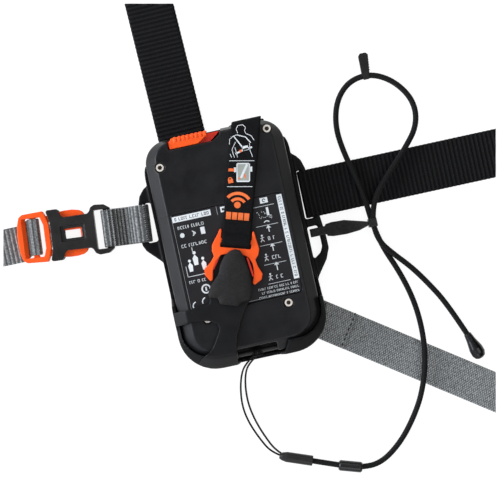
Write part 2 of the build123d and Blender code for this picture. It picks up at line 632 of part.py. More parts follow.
def make_buckle_female():
    half = [(16.6, 10.8), (19.5, 12.9), (24.5, 13.3), (26.6, 12.2), (27.6, 10.0), (28.8, 9.1), (41.4, 8.8),
            (42.6, 9.8), (43.6, 12.6), (44.6, 13.6), (49.6, 13.6), (50.4, 12.8), (49.0, 7.0)]
    body = prism(plate(mirrored(half)), 0.3, 7.9)
    body = body - block(20.3, 25.4, -10.4, 10.4, 0, 10)
    body -= block(16, 20.4, -10.4, 10.4, 5.0, 10)
    body -= block(16, 20.4, -10.4, 10.4, 0, 1.6)
    body -= block(30.0, 60, -12.75, 12.75, 2.3, 5.9)
    body -= block(32.6, 41.8, -2.6, 2.6, 0, 10)
    body -= block(31.0, 43.6, -4.1, 4.1, 6.9, 10)
    return buckle_location() * body


def make_buckle_male():
    """A ladder frame for the webbing, a forked middle prong and two sprung side arms."""
    half = [(49.6, 6.0), (51.2, 11.6), (52.2, 13.5), (63.2, 12.9), (65.2, 11.5), (66.4, 7.5), (66.9, 2.0)]
    body = prism(plate(mirrored(half)), 2.0, 6.6)
    window = [(52.6, -6.2), (54.0, -10.5), (61.9, -10.5), (61.9, 10.5), (54.0, 10.5), (52.6, 6.2)]
    body -= prism(plate(window), 0, 10)
    body -= across_buckle([(61.8, 3.4), (64.0, 6.7), (60.0, 6.7), (60.0, 3.4)], 10.5)
    body -= block(60.8, 70, -10.6, 20, 0, 3.4)
    body += block(56.6, 59.6, -11, 11, 2.4, 5.2)
    prong = plate(mirrored([(52, 3.3), (33.2, 3.3), (31.7, 1.9)]))
    prong -= plate([(33.4, -1.8), (33.4, 2.9), (50, 2.9), (50, -1.8)])
    arm = [(52, 10.4), (47, 11.6), (43.1, 12.1), (40.9, 12.4), (36.6, 12.4), (33.1, 11.8), (31.4, 10.8),
           (30.4, 9.4), (30.8, 7.6), (33, 7.2), (38, 8.2), (44, 8.2), (52, 7.0)]
    arms = plate(arm) + plate([(u, -v) for u, v in arm])
    body += prism(prong + arms, 2.6, 5.6)
    return buckle_location() * body


def across_buckle(section, half_width):
    return extrude(Plane.XZ * plate(section), amount=half_width, both=True)


def make_adjuster_strap():
    """Webbing that comes in under the frame, over its middle bar and back out under it."""
    wrap = [(64.5, 0.75), (60.6, 0.75), (55.6, 1.2), (55.3, 5.0), (56.4, 6.1), (59.6, 6.1), (60.6, 5.2), (60.9, 2.9),
            (62.0, 2.2), (64.5, 2.2)]
    tail = [(1.0, 0.75), (ADJUSTER_LENGTH, 0.75)]
    upper_tail = [(1.6, 2.2), (ADJUSTER_LENGTH, 2.2)]
    strap = Pos(0, -0.4, 0) * across(ribbon(wrap, ADJUSTER_THICKNESS), ADJUSTER_WIDTH)
    turned = Pos(61, 1.9, 0) * Rot(0, 0, ADJUSTER_TURN)
    for layer in (tail, upper_tail):
        strap += turned * across(ribbon(layer, ADJUSTER_THICKNESS), ADJUSTER_WIDTH)
    return cut_off(buckle_location() * strap)


def make_straps():
    save(make_shoulder_strap(), "shoulder_strap")
    save(make_chest_strap(), "chest_strap")
    save(make_waist_strap(), "waist_strap")
    save(make_buckle_strap(), "buckle_strap")
    save(make_buckle_female(), "buckle_female")
    save(make_buckle_male(), "buckle_male")
    save(make_adjuster_strap(), "adjuster_strap")


# ---------------------------------------------------------------------- leash
def turned_along(ends, z, profile):
    """A solid of revolution on a level line, from (distance, radius) points."""
    start = Vector(*ends[0])
    direction = (Vector(*ends[1]) - start).normalized()
    outline = [(0, 0)] + profile + [(profile[-1][0], 0)]
    body = revolve(plate(outline), Axis.X)
    angle = math.degrees(math.atan2(direction.Y, direction.X))
    return Pos(start.X, start.Y, z) * Rot(0, 0, angle) * body


def make_leash_clip():
    """Snap hook round the ring of the right lug, with a long thumb lever."""
    lever = plate([(48.9, 0.2), (52, 0.6), (59, 0.3), (65, -1.4), (71.2, -3.2), (71.2, -5.4), (66, -6.9),
                   (59, -7.4), (52, -7.0), (48.9, -6.2)])
    clip = prism(lever, 0.3, 6.8)
    clip += block(40.2, 50, -5.2, -0.7, 5.0, 6.8)
    clip += block(40.2, 44.2, -5.2, -0.7, 0.3, 6.8)
    clip += block(40.2, 50, -5.2, -0.7, 0.3, 1.4)
    return clip


def make_pull_tab():
    tag = plate([(85.6, 70.8), (88.6, 70.8), (89.2, 74.0), (90.4, 83.6), (89.2, 84.8), (86.2, 84.8), (85.2, 83.6),
                 (85.0, 74.0)])
    return prism(tag, 0.2, 3.2)


def make_leash():
    save(cord_tube(LEASH_ROUTE, CORD_R, "leash_cord"), "leash_cord")
    save(cord_tube(STRAND_LEFT, THIN_R, "loop_strand_left"), "loop_strand_left")
    save(cord_tube(STRAND_RIGHT, THIN_R, "loop_strand_right"), "loop_strand_right")
    hitch = block(-3.6, 2.4, PIN_Y - 2.1, PIN_Y + 1.7, PIN_Z - 2.0, PIN_Z + 2.0)
    save(hitch - lying_rod((-5, PIN_Y, PIN_Z), (5, PIN_Y, PIN_Z), PIN_R), "loop_hitch")
    save(turned_along(BARREL_ENDS, 2.8, [(0, 1.4), (1.6, 2.2), (4, 2.75), (17.8, 2.75)]), "leash_barrel")
    save(turned_along(BEAD_ENDS, 2.9, [(0, 2.2), (0.8, 2.85), (11.8, 2.85), (12.6, 2.2)]), "leash_bead")
    save(turned_along(CORD_END_ENDS, 3.9, [(0, 1.9), (4, 2.5), (9, 3.7), (12, 3.7), (14, 2.8), (14.8, 1.4)]),
         "cord_end")
    save(make_leash_clip(), "leash_clip")
    save(block(71.3, 76.0, -6.6, -2.0, 0.2, 7.8), "cord_collar")
    save(make_pull_tab(), "pull_tab")


make_transceiver()
make_holder()
make_straps()
make_leash()
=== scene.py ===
import math
import random

import bmesh
import bpy
from mathutils import Matrix, Vector


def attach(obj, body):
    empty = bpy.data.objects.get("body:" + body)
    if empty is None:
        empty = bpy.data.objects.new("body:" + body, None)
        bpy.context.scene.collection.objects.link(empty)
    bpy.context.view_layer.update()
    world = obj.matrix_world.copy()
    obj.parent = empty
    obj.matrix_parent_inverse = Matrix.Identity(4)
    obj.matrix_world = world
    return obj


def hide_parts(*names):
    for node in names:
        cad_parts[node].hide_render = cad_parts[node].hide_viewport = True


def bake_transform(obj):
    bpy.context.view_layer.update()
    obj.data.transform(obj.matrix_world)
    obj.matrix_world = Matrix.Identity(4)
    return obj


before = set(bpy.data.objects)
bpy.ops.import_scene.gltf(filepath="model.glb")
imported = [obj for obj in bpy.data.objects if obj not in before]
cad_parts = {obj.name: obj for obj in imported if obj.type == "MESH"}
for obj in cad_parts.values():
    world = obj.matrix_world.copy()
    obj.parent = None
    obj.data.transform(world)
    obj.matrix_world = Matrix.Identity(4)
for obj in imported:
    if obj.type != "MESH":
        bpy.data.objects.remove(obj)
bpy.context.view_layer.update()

# Lengths below are in millimetres, in the CAD frame, and become metres as meshes are made.
MM = 0.001
TAU = 2 * math.pi
random.seed(11)


# ------------------------------------------------------------------ materials
class Graph:
    """A material's node tree, with short calls to build it."""

    def __init__(self, name):
        self.material = bpy.data.materials.new(name)
        self.material.use_nodes = True
        self.tree = self.material.node_tree
        self.shader = self.tree.nodes["Principled BSDF"]

    def put(self, socket, value):
        if isinstance(value, bpy.types.NodeSocket):
            self.tree.links.new(value, socket)
        else:
            socket.default_value = value

    def node(self, kind, inputs=(), **settings):
        made = self.tree.nodes.new("ShaderNode" + kind)
        for key, value in settings.items():
            setattr(made, key, value)
        for key, value in dict(inputs).items():
            self.put(made.inputs[key], value)
        return made

    def math(self, operation, a, b=0.0, c=0.0):
        return self.node("Math", {0: a, 1: b, 2: c}, operation=operation).outputs[0]

    def wave(self, value, pitch, phase=0.0):
        """From 0 to 1 and back over one pitch."""
        turn = self.math("MULTIPLY_ADD", value, TAU / pitch, phase)
        return self.math("MULTIPLY_ADD", self.math("SINE", turn), 0.5, 0.5)

    def noise(self, scale, detail=3.0, roughness=0.55):
        where = self.node("TexCoord").outputs["Object"]
        return self.node("TexNoise", {"Vector": where, "Scale": scale, "Detail": detail,
                                      "Roughness": roughness}).outputs["Fac"]

    def mix(self, amount, a, b):
        made = self.node("Mix", {0: amount}, data_type="RGBA")
        self.put(made.inputs[6], a)
        self.put(made.inputs[7], b)
        return made.outputs[2]

    def remap(self, value, low, high, start=0.3, end=0.7):
        return self.node("MapRange", {"Value": value, "From Min": start, "From Max": end,
                                      "To Min": low, "To Max": high}).outputs[0]

    def bump(self, height, distance_mm, strength=1.0, below=None):
        made = self.node("Bump", {"Height": height, "Distance": distance_mm * MM, "Strength": strength})
        if below is not None:
            self.put(made.inputs["Normal"], below)
        return made.outputs[0]

    def laid(self):
        """Along and across a strap or cord, in millimetres, as its mesh says."""
        lay = self.node("Attribute", attribute_name="lay").outputs["Vector"]
        apart = self.node("SeparateXYZ", {0: lay})
        return apart.outputs[0], apart.outputs[1]

    def finish(self, color, roughness, normal=None, **fixed):
        self.put(self.shader.inputs["Base Color"], color)
        self.put(self.shader.inputs["Roughness"], roughness)
        if normal is not None:
            self.put(self.shader.inputs["Normal"], normal)
        for key, value in fixed.items():
            self.shader.inputs[key.replace("_", " ")].default_value = value
        return self.material


def rgb(r, g, b):
    """A colour as it looks on a screen, 0 to 255, made linear."""
    shares = [c / 255 for c in (r, g, b)]
    return tuple(((c + 0.055) / 1.055) ** 2.4 if c > 10 / 255 else c / 12.92 for c in shares) + (1.0,)


def moulded(name, dark, light, rough, grain=0.04, grain_scale=1600, spread=0.07, blotch=90, **fixed):
    """Moulded plastic or rubber: fine spark grain, slow colour change and scuffed roughness."""
    g = Graph(name)
    slow = g.noise(blotch, 4)
    fine = g.noise(grain_scale, 2, 0.6)
    scuff = g.noise(420, 5, 0.7)
    share = g.math("MULTIPLY_ADD", fine, 0.35, g.math("MULTIPLY", slow, 0.65))
    color = g.mix(g.remap(share, 0, 1), dark, light)
    roughness = g.math("ADD", g.remap(slow, rough - spread, rough + spread), g.remap(scuff, -0.04, 0.05))
    normal = g.bump(fine, grain, 0.6, g.bump(slow, 0.02, 0.4))
    return g.finish(color, roughness, normal, **fixed)


def metal(name, dark, light, rough):
    g = Graph(name)
    fine = g.noise(2400, 3)
    slow = g.noise(300, 4)
    return g.finish(g.mix(g.remap(slow, 0, 1), dark, light), g.remap(fine, rough - 0.08, rough + 0.12),
                    g.bump(fine, 0.01, 0.5), Metallic=1.0)


def webbing(name, dark, light, along_pitch, across_pitch, contrast, twill=False, rib=None, painted_groove_level=0.0,
            **fixed):
    """Woven tape: yarns over and under each other, heathered by noise, and painted shade between any cross
    ribs.
    """
    g = Graph(name)
    along, across = g.laid()
    if twill:
        slant = g.math("ADD", along, g.math("MULTIPLY", across, 0.62))
        other = g.math("SUBTRACT", along, g.math("MULTIPLY", across, 0.62))
        weave = g.math("MULTIPLY", g.wave(slant, along_pitch), g.wave(other, along_pitch))
    else:
        weave = g.math("MULTIPLY", g.wave(along, along_pitch), g.wave(across, across_pitch))
    yarn = g.wave(across, across_pitch, 1.3)
    heather = g.noise(900, 3, 0.7)
    share = g.math("ADD", g.math("MULTIPLY", weave, contrast), g.remap(heather, 0.0, 1.0 - contrast))
    if rib:
        # painted shade: the colour darkens into the grooves between cross ribs and is brightest on their
        # crests
        painted_rib_shade = g.math("POWER", g.wave(along, rib, TAU / 4), 1.4)
        share = g.math("MULTIPLY", share, g.math("MULTIPLY_ADD", painted_rib_shade, 1.0 - painted_groove_level, painted_groove_level))
    color = g.mix(share, dark, light)
    height = g.math("MULTIPLY_ADD", yarn, 0.35, weave)
    normal = g.bump(height, 0.22, 0.8, g.bump(heather, 0.05, 0.5))
    return g.finish(color, g.remap(heather, 0.72, 0.92), normal, **fixed)


def braid(name, dark, light, pitch, turns, radius):
    """Braided sheath of a cord: two families of crossing strands."""
    g = Graph(name)
    along, around = g.laid()
    step = turns * pitch / (TAU * radius)
    one = g.wave(g.math("MULTIPLY_ADD", around, step, along), pitch)
    two = g.wave(g.math("MULTIPLY_ADD", around, -step, along), pitch)
    weave = g.math("MULTIPLY", one, two)
    fuzz = g.noise(2600, 3, 0.7)
    color = g.mix(g.math("MULTIPLY", weave, g.remap(fuzz, 0.6, 1.2)), dark, light)
    return g.finish(color, g.remap(fuzz, 0.66, 0.84), g.bump(weave, 0.12, 0.7, g.bump(fuzz, 0.03, 0.5)),
                    Specular_IOR_Level=0.25)


ORANGE = (rgb(252, 78, 16), rgb(255, 100, 30))
LOOKS = {
    "pod": moulded("pod plastic", rgb(17, 17, 18), rgb(25, 25, 27), 0.38, Specular_IOR_Level=0.27),
    "front": moulded("front plastic", rgb(30, 30, 32), rgb(40, 40, 42), 0.5),
    "door": moulded("battery door plastic", rgb(25, 24, 26), rgb(33, 31, 34), 0.5, grain=0.03,
                    Specular_IOR_Level=0.25),
    "tray": moulded("tray plastic", rgb(8, 8, 9), rgb(17, 17, 18), 0.42, grain=0.03,
                    Specular_IOR_Level=0.14),
    "seal": moulded("seal rubber", rgb(150, 28, 10), rgb(215, 60, 22), 0.5, blotch=200),
    "gasket": moulded("gasket rubber", rgb(16, 16, 16), rgb(26, 26, 26), 0.7),
    "cell": moulded("cell jacket", rgb(120, 122, 126), rgb(168, 170, 176), 0.35, Metallic=0.6),
    "contact": metal("contact metal", rgb(190, 186, 172), rgb(226, 222, 210), 0.3),
    "board": moulded("board lacquer", rgb(8, 70, 40), rgb(14, 96, 58), 0.35, blotch=500),
    "ferrite": moulded("ferrite", rgb(48, 48, 50), rgb(72, 72, 76), 0.6, blotch=700),
    "coil": metal("coil copper", rgb(150, 82, 44), rgb(206, 126, 76), 0.35),
    "display": moulded("display glass", rgb(120, 130, 122), rgb(146, 156, 146), 0.2, grain=0.0),
    "keypad": moulded("keypad rubber", rgb(30, 30, 31), rgb(44, 44, 46), 0.7),
    "speaker": moulded("speaker plastic", rgb(20, 20, 20), rgb(36, 36, 36), 0.6),
    "screw": moulded("screw steel", rgb(226, 214, 198), rgb(246, 240, 230), 0.34, grain=0.01, blotch=600,
                     Metallic=0.35),
    # painted shade for the floors of the screw sockets
    "socket": moulded("screw socket painted shade", rgb(34, 28, 26), rgb(58, 48, 44), 0.5, Metallic=0.4),
    "orange": moulded("orange plastic", *ORANGE, 0.4, grain=0.02, blotch=60, Specular_IOR_Level=0.3),
    "track": moulded("track plastic", rgb(238, 44, 18), rgb(255, 64, 34), 0.36, grain=0.02),
    "rubber": moulded("tongue rubber", rgb(12, 12, 13), rgb(21, 21, 23), 0.44, grain=0.03, spread=0.09,
                      Specular_IOR_Level=0.2),
    "cap": moulded("grip cap rubber", rgb(14, 14, 14), rgb(44, 42, 41), 0.7, grain=0.2, grain_scale=900,
                   Specular_IOR_Level=0.25),
    "clip": moulded("buckle plastic", rgb(24, 23, 22), rgb(38, 36, 35), 0.42, grain=0.03,
                    Specular_IOR_Level=0.3),
    "gloss": moulded("cord fitting plastic", rgb(8, 8, 9), rgb(18, 18, 19), 0.28, grain=0.01,
                     Specular_IOR_Level=0.4),
    "white": moulded("white print", rgb(206, 212, 214), rgb(238, 242, 242), 0.5, grain=0.01),
    "faint": moulded("grey print", rgb(128, 130, 132), rgb(176, 178, 180), 0.5, grain=0.01),
    "pale": moulded("pale grey print", rgb(150, 154, 146), rgb(172, 176, 166), 0.5, grain=0.01),
    "ink": moulded("black print", rgb(24, 24, 24), rgb(40, 40, 40), 0.5, grain=0.01),
    "ember": moulded("orange print", rgb(238, 104, 40), rgb(252, 126, 58), 0.5, grain=0.01),
    "flap": webbing("flap webbing", rgb(10, 10, 11), rgb(21, 21, 22), 0.9, 0.55, 0.6,
                    Specular_IOR_Level=0.15),
    # rib and the groove level give painted shade between cross ribs, here and in the grey webbing below
    "elastic": webbing("ribbed elastic", rgb(2, 2, 2), rgb(46, 46, 49), 0.8, 0.9, 0.6, rib=2.3,
                       Specular_IOR_Level=0.2),
    "grey": webbing("light grey webbing", rgb(34, 35, 35), rgb(216, 219, 218), 1.15, 0.8, 0.5, rib=2.2,
                    painted_groove_level=0.22),
    "dark_grey": webbing("dark grey webbing", rgb(34, 35, 35), rgb(196, 200, 199), 1.3, 0.8, 0.6, twill=True),
    "cord": braid("cord sheath", rgb(5, 5, 5), rgb(28, 28, 28), 1.7, 5, 1.5),
    "thin": braid("thin cord sheath", rgb(5, 5, 5), rgb(24, 24, 24), 0.8, 4, 0.5),
}


def clear_window():
    g = Graph("display window")
    haze = g.noise(500, 3)
    return g.finish(rgb(214, 222, 226), g.remap(haze, 0.05, 0.14), g.bump(haze, 0.01, 0.3),
                    Transmission_Weight=0.85, IOR=1.49)


LOOKS["window"] = clear_window()

NODE_LOOKS = {
    "back_shell": "pod", "front_shell": "front", "shell_seal": "seal", "battery_door": "door",
    "door_gasket": "gasket", "batteries": "cell", "battery_contacts": "contact", "circuit_board": "board",
    "antenna_rods": "ferrite", "antenna_coils": "coil", "display_module": "display",
    "display_window": "window", "keypad_membrane": "keypad", "speaker": "speaker",
    "vibration_motor": "contact", "mode_switch": "orange", "switch_track": "track", "button_left": "keypad",
    "button_centre": "keypad", "button_right": "keypad", "housing_screws": "screw", "lanyard_pin": "clip",
    "carrier_tray": "tray", "strap_rivets": "screw", "tongue_roots": "rubber", "tongue": "rubber",
    "tongue_cap": "cap", "flap_root": "flap", "flap_strap": "flap", "flap_buckle": "orange",
    "shoulder_strap": "elastic", "chest_strap": "elastic", "waist_strap": "dark_grey",
    "buckle_strap": "grey", "adjuster_strap": "grey", "buckle_female": "clip", "buckle_male": "orange",
    "leash_cord": "cord", "loop_strand_left": "thin", "loop_strand_right": "thin", "loop_hitch": "thin",
    "leash_barrel": "clip", "leash_bead": "gloss", "cord_end": "gloss", "leash_clip": "gloss",
    "cord_collar": "gloss", "pull_tab": "cap",
}
for node, look in NODE_LOOKS.items():
    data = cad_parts[node].data
    data.materials.clear()
    data.materials.append(LOOKS[look])


# -------------------------------------------------------------------- meshes
def piece(name, vertices, faces, look, body, lay=None, smooth=True):
    """An object from millimetre points, riding on a body if one is given."""
    mesh = bpy.data.meshes.new(name)
    mesh.from_pydata([Vector(v) * MM for v in vertices], [], faces)
    mesh.update()
    if lay is not None:
        attribute = mesh.attributes.new("lay", "FLOAT_VECTOR", "POINT")
        attribute.data.foreach_set("vector", [c for v in lay for c in v])
    return finish_piece(name, mesh, look, body, smooth)


def finish_piece(name, mesh, look, body, smooth=True):
    bm = bmesh.new()
    bm.from_mesh(mesh)
    bmesh.ops.recalc_face_normals(bm, faces=bm.faces)
    bm.to_mesh(mesh)
    bm.free()
    mesh.materials.append(LOOKS[look])
    if smooth:
        mesh.shade_smooth()
    made = bpy.data.objects.new(name, mesh)
    bpy.context.scene.collection.objects.link(made)
    if body:
        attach(made, body)
    return made


def evaluated_mesh(source):
    bpy.context.view_layer.update()
    graph = bpy.context.evaluated_depsgraph_get()
    return bpy.data.meshes.new_from_object(source.evaluated_get(graph))


def relaxed(points, step, rounds):
    """Points at even steps along a line, eased so that its corners become soft bends."""
    spots = [Vector(p) for p in points]
    line = []
    for a, b in zip(spots, spots[1:]):
        count = max(1, round((b - a).length / step))
        line += [a.lerp(b, i / count) for i in range(count)]
    line.append(spots[-1])
    for _ in range(rounds):
        eased = [(line[i - 1] + line[i] * 2 + line[i + 1]) / 4 for i in range(1, len(line) - 1)]
        line = [line[0]] + eased + [line[-1]]
    return line


def placed(origin, angle):
    """The transform from a strap's own frame to the CAD frame."""
    return Matrix.Translation(Vector((*origin, 0.0))) @ Matrix.Rotation(math.radians(angle), 4, "Z")


def ribbon(name, line, width, thickness, place, look, body, rib=None):
    """A strap swept along a line of (along, height), with rounded edges and cross ribs if asked."""
    half = width / 2
    edge = thickness / 2
    across = 14
    section = []
    for i in range(across + 1):
        section.append((-half + edge + (width - 2 * edge) * i / across, 1.0, 0.0))
    section += [(half - edge, math.cos(a), math.sin(a)) for a in (0.9, 1.57, 2.25)]
    for i in range(across + 1):
        section.append((half - edge - (width - 2 * edge) * i / across, -1.0, 0.0))
    section += [(-half + edge, -math.cos(a), -math.sin(a)) for a in (0.9, 1.57, 2.25)]
    vertices = []
    lay = []
    along = 0.0
    last = len(line) - 1
    for i, spot in enumerate(line):
        before = line[max(i - 1, 0)]
        after = line[min(i + 1, last)]
        along += (spot - before).length
        run = (after - before).normalized()
        normal = Vector((-run.y, run.x))
        swell = 0.0
        if rib:
            swell = rib[1] * (0.5 + 0.5 * math.cos(TAU * along / rib[0])) ** 0.8
        for v, up, out in section:
            rise = up * (edge + swell * abs(up))
            side = v + out * (edge + swell * 0.35)
            point = (spot.x + normal.x * rise, side, spot.y + normal.y * rise)
            vertices.append(place @ Vector(point))
            lay.append((along, v, 0.0))
    count = len(section)
    faces = []
    for i in range(last):
        for j in range(count):
            k = (j + 1) % count
            faces.append((i * count + j, i * count + k, (i + 1) * count + k, (i + 1) * count + j))
    faces.append(tuple(range(count)))
    faces.append(tuple(range(last * count, (last + 1) * count)))
    return piece(name, vertices, faces, look, body, lay)


def prism_shell(outline, low, high, start):
    """Vertices and faces of one closed prism, numbered from start."""
    count = len(outline)
    vertices = [(x, y, low) for x, y in outline] + [(x, y, high) for x, y in outline]
    sides = [(start + i, start + (i + 1) % count, start + count + (i + 1) % count, start + count + i)
             for i in range(count)]
    floor = tuple(start + i for i in reversed(range(count)))
    roof = tuple(start + count + i for i in range(count))
    return vertices, sides + [floor, roof]


def prisms(name, outlines, look, body, smooth=False):
    """One piece of many closed prisms: (outline, low, high)."""
    vertices = []
    faces = []
    for outline, low, high in outlines:
        more, sides = prism_shell(outline, low, high, len(vertices))
        vertices += more
        faces += sides
    return piece(name, vertices, faces, look, body, smooth=smooth)


def soften(name, source, voxel, rounds, look, body, *nodes, shape=None):
    """A copy of a mesh with rounded, moulded edges, which stands for CAD nodes."""
    mesh = source.data.copy()
    work = bpy.data.objects.new("work", mesh)
    bpy.context.scene.collection.objects.link(work)
    weld = work.modifiers.new("weld", "WELD")
    weld.merge_threshold = 0.002 * MM
    remesh = work.modifiers.new("remesh", "REMESH")
    remesh.mode = "VOXEL"
    remesh.voxel_size = voxel * MM
    smooth = work.modifiers.new("smooth", "SMOOTH")
    smooth.iterations = rounds
    smooth.factor = 0.5
    made = evaluated_mesh(work)
    bpy.data.objects.remove(work)
    made.materials.clear()
    made.name = name
    if shape:
        for vertex in made.vertices:
            vertex.co = Vector(shape(*(vertex.co / MM))) * MM
    piece_made = finish_piece(name, made, look, body)
    if nodes:
        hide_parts(*nodes)
    return piece_made


def soft_node(node, voxel, rounds, body, name=None):
    """A softened copy of one CAD node, which replaces it."""
    return soften(name or node + "_moulded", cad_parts[node], voxel, rounds, NODE_LOOKS[node], body,
                  node)


def soft_plates(name, plates, voxel, rounds, look, body, *nodes, shape=None):
    """Plates of any outline joined into one soft moulded piece."""
    raw = prisms("raw", plates, look, None)
    made = soften(name, raw, voxel, rounds, look, body, *nodes, shape=shape)
    bpy.data.objects.remove(raw)
    return made


# ---------------------------------------------------------- flat print shapes
def bar(x_low, y_low, x_high, y_high):
    return [(x_low, y_low), (x_high, y_low), (x_high, y_high), (x_low, y_high)]


def stroke(a, b, width):
    a = Vector(a)
    b = Vector(b)
    run = (b - a).normalized()
    side = Vector((-run.y, run.x)) * width / 2
    return [tuple(a - side), tuple(b - side), tuple(b + side), tuple(a + side)]


def strokes(points, width):
    return [stroke(a, b, width) for a, b in zip(points, points[1:])]


def disc(x, y, radius, sides=20):
    return [(x + radius * math.cos(TAU * i / sides), y + radius * math.sin(TAU * i / sides))
            for i in range(sides)]


def bow_shape(x, y, inner, outer, start, end, steps=14):
    angles = [math.radians(start + (end - start) * i / steps) for i in range(steps + 1)]
    far = [(x + outer * math.cos(a), y + outer * math.sin(a)) for a in angles]
    near = [(x + inner * math.cos(a), y + inner * math.sin(a)) for a in reversed(angles)]
    return far + near


def scribble(x, y, length, height, upright=False):
    """A row of small generic marks, where the real object has small print."""
    marks = []
    at = 0.0
    while at < length:
        wide = height * random.uniform(0.35, 0.75)
        kind = random.randrange(4)
        thin = height * 0.17
        parts = [bar(at, 0, at + thin, height)]
        if kind != 1:
            parts.append(bar(at, height - thin, at + wide, height))
        if kind != 2:
            parts.append(bar(at, 0, at + wide, thin))
        if kind == 3:
            parts.append(bar(at + wide - thin, 0, at + wide, height))
        marks += parts
        at += wide + height * random.choice((0.25, 0.25, 0.3, 0.8))
    if upright:
        return [[(x + v, y - u) for u, v in mark] for mark in marks]
    return [[(x + u, y + v) for u, v in mark] for mark in marks]


def printed(name, shapes, look, body, low, high):
    return prisms(name, [(shape, low, high) for shape in shapes], look, body)


# ---------------------------------------------------------------- transceiver
LABEL_Z = 30.0


def build_label():
    low = LABEL_Z - 0.1
    high = LABEL_Z + 0.04
    white = [bar(-28.8, 17.2, -8.6, 20.2), bar(26.2, -24.0, 29.0, 20.2), bar(-3.4, 17.4, -0.8, 20.2),
             bar(17.4, 17.4, 21.4, 20.2)]
    ink = scribble(-27.6, 17.9, 17.0, 1.6) + scribble(26.9, 19.0, 41.5, 1.4, upright=True)
    ink += [bow_shape(19.4, 18.8, 0.5, 0.95, 0, 300), bar(-2.7, 18.2, -1.5, 19.4)]
    white += scribble(-27.0, 13.2, 13.0, 1.7) + scribble(-27.0, 3.6, 12.5, 1.7)
    white += scribble(-27.0, -15.3, 9.5, 1.5)
    white += [disc(-25.4, 10.0, 1.2), bow_shape(-20.2, 10.0, 0.9, 1.4, -80, 80)]
    white += [bow_shape(-19.0, 10.0, 0.3, 0.7, 0, 359), bar(-15.6, 8.6, -13.4, 12.2)]
    # three figures beside a mound, with a frame under them
    for x, y, size in ((-24.6, -6.6, 1.0), (-21.4, -3.4, 1.15), (-17.6, -6.8, 1.05)):
        white.append(disc(x, y + 3.0 * size, 0.75 * size, 12))
        trunk = [(-0.9, -2.6), (0.9, -2.6), (1.2, 0.6), (0.0, 2.2), (-1.2, 0.6)]
        white.append([(x + u * size, y + v * size) for u, v in trunk])
    white += strokes([(-22.0, 0.2), (-22.0, 3.0)], 0.3)
    white += strokes([(-27.0, -6.0), (-27.0, -11.6), (-16.2, -11.6), (-16.2, -8.6)], 0.25)
    white += [bow_shape(-19.2, -19.4, 1.7, 2.5, -70, 290, 22), bar(-19.6, -20.4, -18.8, -18.4)]
    white += [bow_shape(-25.6, -27.0, 1.8, 2.35, 100, 200), bow_shape(-20.4, -25.8, 1.8, 2.35, 100, 200)]
    # the table on the right, with arrows and small figures
    for y in (16.0, 6.0, -4.0, -14.0, -24.0):
        white.append(bar(12.6, y - 0.1, 24.2, y + 0.1))
    for _ in range(26):
        x = random.uniform(14.4, 22.4)
        white.append(disc(x, random.uniform(9.0, 13.4), 0.2, 8))
    white += [bar(19.6, 10.8, 20.8, 15.0), bow_shape(18.6, 6.4, 1.5, 2.0, 40, 140)]
    for y, reach in ((-1.2, 2.6), (-11.2, 3.0), (-21.4, 3.4)):
        base = y + 3.6
        white.append(stroke((18.9, base), (18.9, base + reach), 0.45))
        white.append([(17.6, base + reach - 0.6), (20.2, base + reach - 0.6), (18.9, base + reach + 1.0)])
        white.append(disc(14.6, y + 2.4, 0.5, 12))
        white += strokes([(14.6, y + 1.8), (14.4, y + 0.4), (13.5, y - 0.8)], 0.38)
        white += strokes([(14.4, y + 0.4), (15.4, y - 0.8)], 0.38)
        white += strokes([(13.6, y + 1.0), (15.6, y + 1.4)], 0.3)
        white += scribble(17.4, y - 0.6, 3.4, 1.9)
    for x, y, length in ((7.0, -26.4, 20.5), (8.4, -28.5, 19.0), (6.6, -30.7, 21.4)):
        white += scribble(x, y, length, 1.1)
    printed("label_white_print", white, "white", "carrier", low, high)
    printed("label_marks", ink, "ink", "carrier", low, high + 0.03)
    frame_lines = strokes([(-29.0, 21.0), (-29.0, -30.6), (12.0, -30.6)], 0.18)
    printed("label_edge_lines", frame_lines + [bar(-5.4, 16.6, -5.2, 21.0)], "faint", "carrier", low, high)


SCREWS = [(-29.3, 46.6), (28.9, 54.7), (20.8, -35.4), (-21.8, -34.8)]
SOCKET_Z = 28.55
DOOR_EDGE = 20.9
CASE_SIDE = 36.56


def build_case():
    soft_node("back_shell", 0.42, 2, "carrier")
    soft_node("battery_door", 0.42, 1, "carrier")
    soft_node("front_shell", 0.42, 2, "carrier")
    soft_node("carrier_tray", 0.5, 5, "carrier")
    soft_node("mode_switch", 0.22, 3, "mode_switch")
    # a dark hex at the bottom of each screw's socket: painted shade in the recess
    socket_shade_plates = [(disc(x, y, 1.15, 6), SOCKET_Z - 0.35, SOCKET_Z) for x, y in SCREWS]
    prisms("screw_socket_painted_shade", socket_shade_plates, "socket", "carrier")
    # the joint line of the battery door, over the bevels
    for side, word in ((-1, "left"), (1, "right")):
        line = relaxed([(side * CASE_SIDE, DOOR_EDGE, 17.0), (side * CASE_SIDE, DOOR_EDGE, 24.0),
                        (side * 30.75, 21.2, LABEL_Z + 0.02), (side * 29.3, 21.3, LABEL_Z + 0.02)], 0.5, 1)
        tube("case_groove_" + word, line, 0.12, 8, "gasket", "carrier")
    build_label()


# ----------------------------------------------------------------------- flap
FLAP_END = (0.1, -2.0)
FLAP_ANGLE = -107.0
FLAP_PRINT_Z = 31.5


